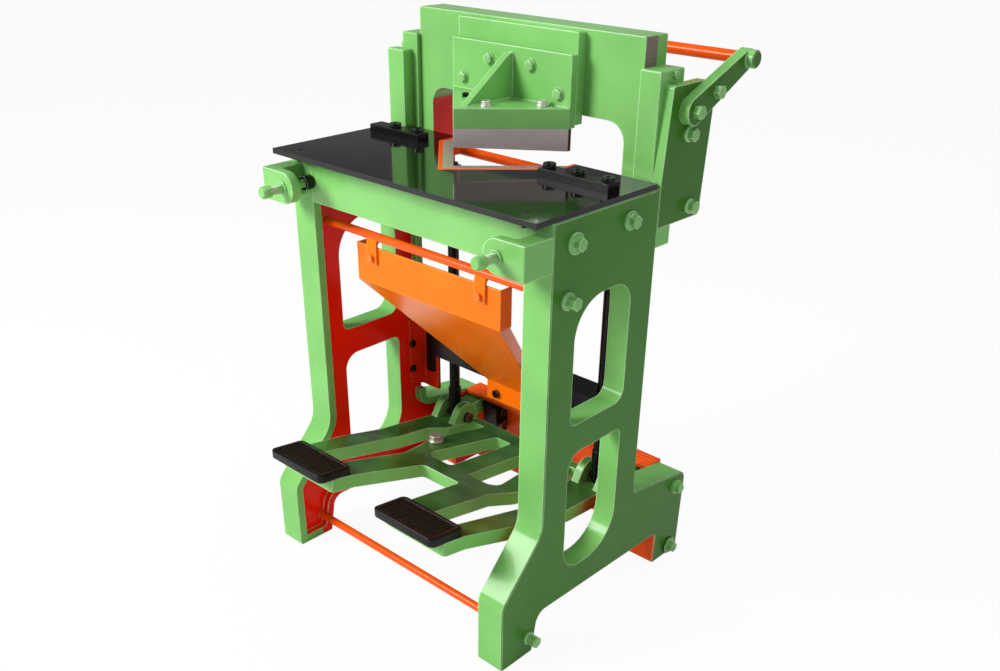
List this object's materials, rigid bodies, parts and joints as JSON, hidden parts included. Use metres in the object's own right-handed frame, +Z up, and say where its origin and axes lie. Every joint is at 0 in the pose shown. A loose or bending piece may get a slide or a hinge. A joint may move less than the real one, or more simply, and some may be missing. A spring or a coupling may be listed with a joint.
{
  "type": "corner notcher",
  "caption": "Foot-operated sheet metal corner notcher: black table with V die, blade on a sliding crosshead, cast side frames, treadle with foot pads and a waste chute.",
  "frame": {"origin": "on the floor at the middle of the bounding box", "axes": "+X to the operator's right, +Y away from the operator, +Z up"},
  "size_m": [0.75, 0.712, 1.103],
  "materials": {
    "green_paint": "gloss enamel",
    "red_paint": "gloss enamel",
    "orange_paint": "gloss enamel",
    "black_gloss": "gloss black",
    "bright_steel": "ground",
    "zinc_steel": "plated",
    "brown_steel": "oiled",
    "black_rubber": "ribbed"
  },
  "bodies": {
    "frame": {"arm_bolts": "green_paint", "cheek_left": "green_paint", "cheek_right": "green_paint", "chute": "orange_paint", "chute_fasteners": "black_gloss", "chute_straps": "orange_paint", "die_blade_front_left": "bright_steel", "die_blade_front_right": "bright_steel", "die_blade_rear_left": "bright_steel", "die_blade_rear_right": "bright_steel", "die_holder": "black_gloss", "fence_left": "black_gloss", "fence_right": "black_gloss", "fence_screws": "black_gloss", "frame_bolts": "green_paint", "front_beam": "green_paint", "guide_angle_left": "red_paint", "guide_angle_right": "red_paint", "guide_bolts": "black_gloss", "guide_rail_left": "green_paint", "guide_rail_right": "green_paint", "keeper_strip_left": "green_paint", "lock_collars": "green_paint", "lower_front_rod": "orange_paint", "lug_left": "green_paint", "lug_right": "green_paint", "pivot_bracket_bolts": "brown_steel", "pivot_bracket_left": "black_gloss", "pivot_bracket_right": "black_gloss", "pivot_shaft_left": "black_gloss", "pivot_shaft_right": "black_gloss", "rear_arm_left": "green_paint", "rear_arm_right": "green_paint", "rear_channel": "orange_paint", "rear_top_bar": "orange_paint", "rear_upper_rod": "orange_paint", "rod_guide_bar": "black_gloss", "side_frame_left": "green_paint", "side_frame_right": "green_paint", "table_plate": "black_gloss", "table_screws": "black_gloss", "upper_front_rod": "orange_paint"},
    "crosshead": {"crosshead": "green_paint", "spacer_plate": "green_paint", "blade_bracket": "green_paint", "upper_blade_right": "bright_steel", "upper_blade_left": "bright_steel", "bracket_bolts": "green_paint", "flange_bolts": "zinc_steel", "set_screw_left": "black_gloss", "connecting_rod_right": "black_gloss", "connecting_rod_left": "black_gloss", "link_nuts": "black_gloss"},
    "treadle": {"treadle": "green_paint", "foot_pad_right": "black_rubber", "foot_pad_left": "black_rubber", "clevis_pins": "brown_steel", "treadle_bolt": "zinc_steel"},
    "screw_right": {"adjusting_screw_right": "green_paint"},
    "screw_left": {"adjusting_screw_left": "green_paint"}
  },
  "joints": [
    {"name": "treadle_hinge", "type": "hinge", "parent": "frame", "child": "treadle", "pos_m": [0, 0.28, 0.175], "axis": [1, 0, 0], "range_deg": [0, 19], "stiffness_Nm_per_rad": 500, "springref_deg": -45.84},
    {"name": "crosshead_slide", "type": "slide", "parent": "frame", "child": "crosshead", "axis": [0, 0, -1], "range_m": [0, 0.04]},
    {"name": "adjusting_screw_right_turn", "type": "hinge", "parent": "frame", "child": "screw_right", "pos_m": [0.279, -0.249, 0.8085], "axis": [0, 1, 0], "range_deg": [-180, 180]},
    {"name": "adjusting_screw_left_turn", "type": "hinge", "parent": "frame", "child": "screw_left", "pos_m": [-0.279, -0.249, 0.8085], "axis": [0, 1, 0], "range_deg": [-180, 180]}
  ],
  "couplings": [
    {"joint": "crosshead_slide", "follows": "treadle_hinge", "m_per_rad": 0.1196}
  ]
}
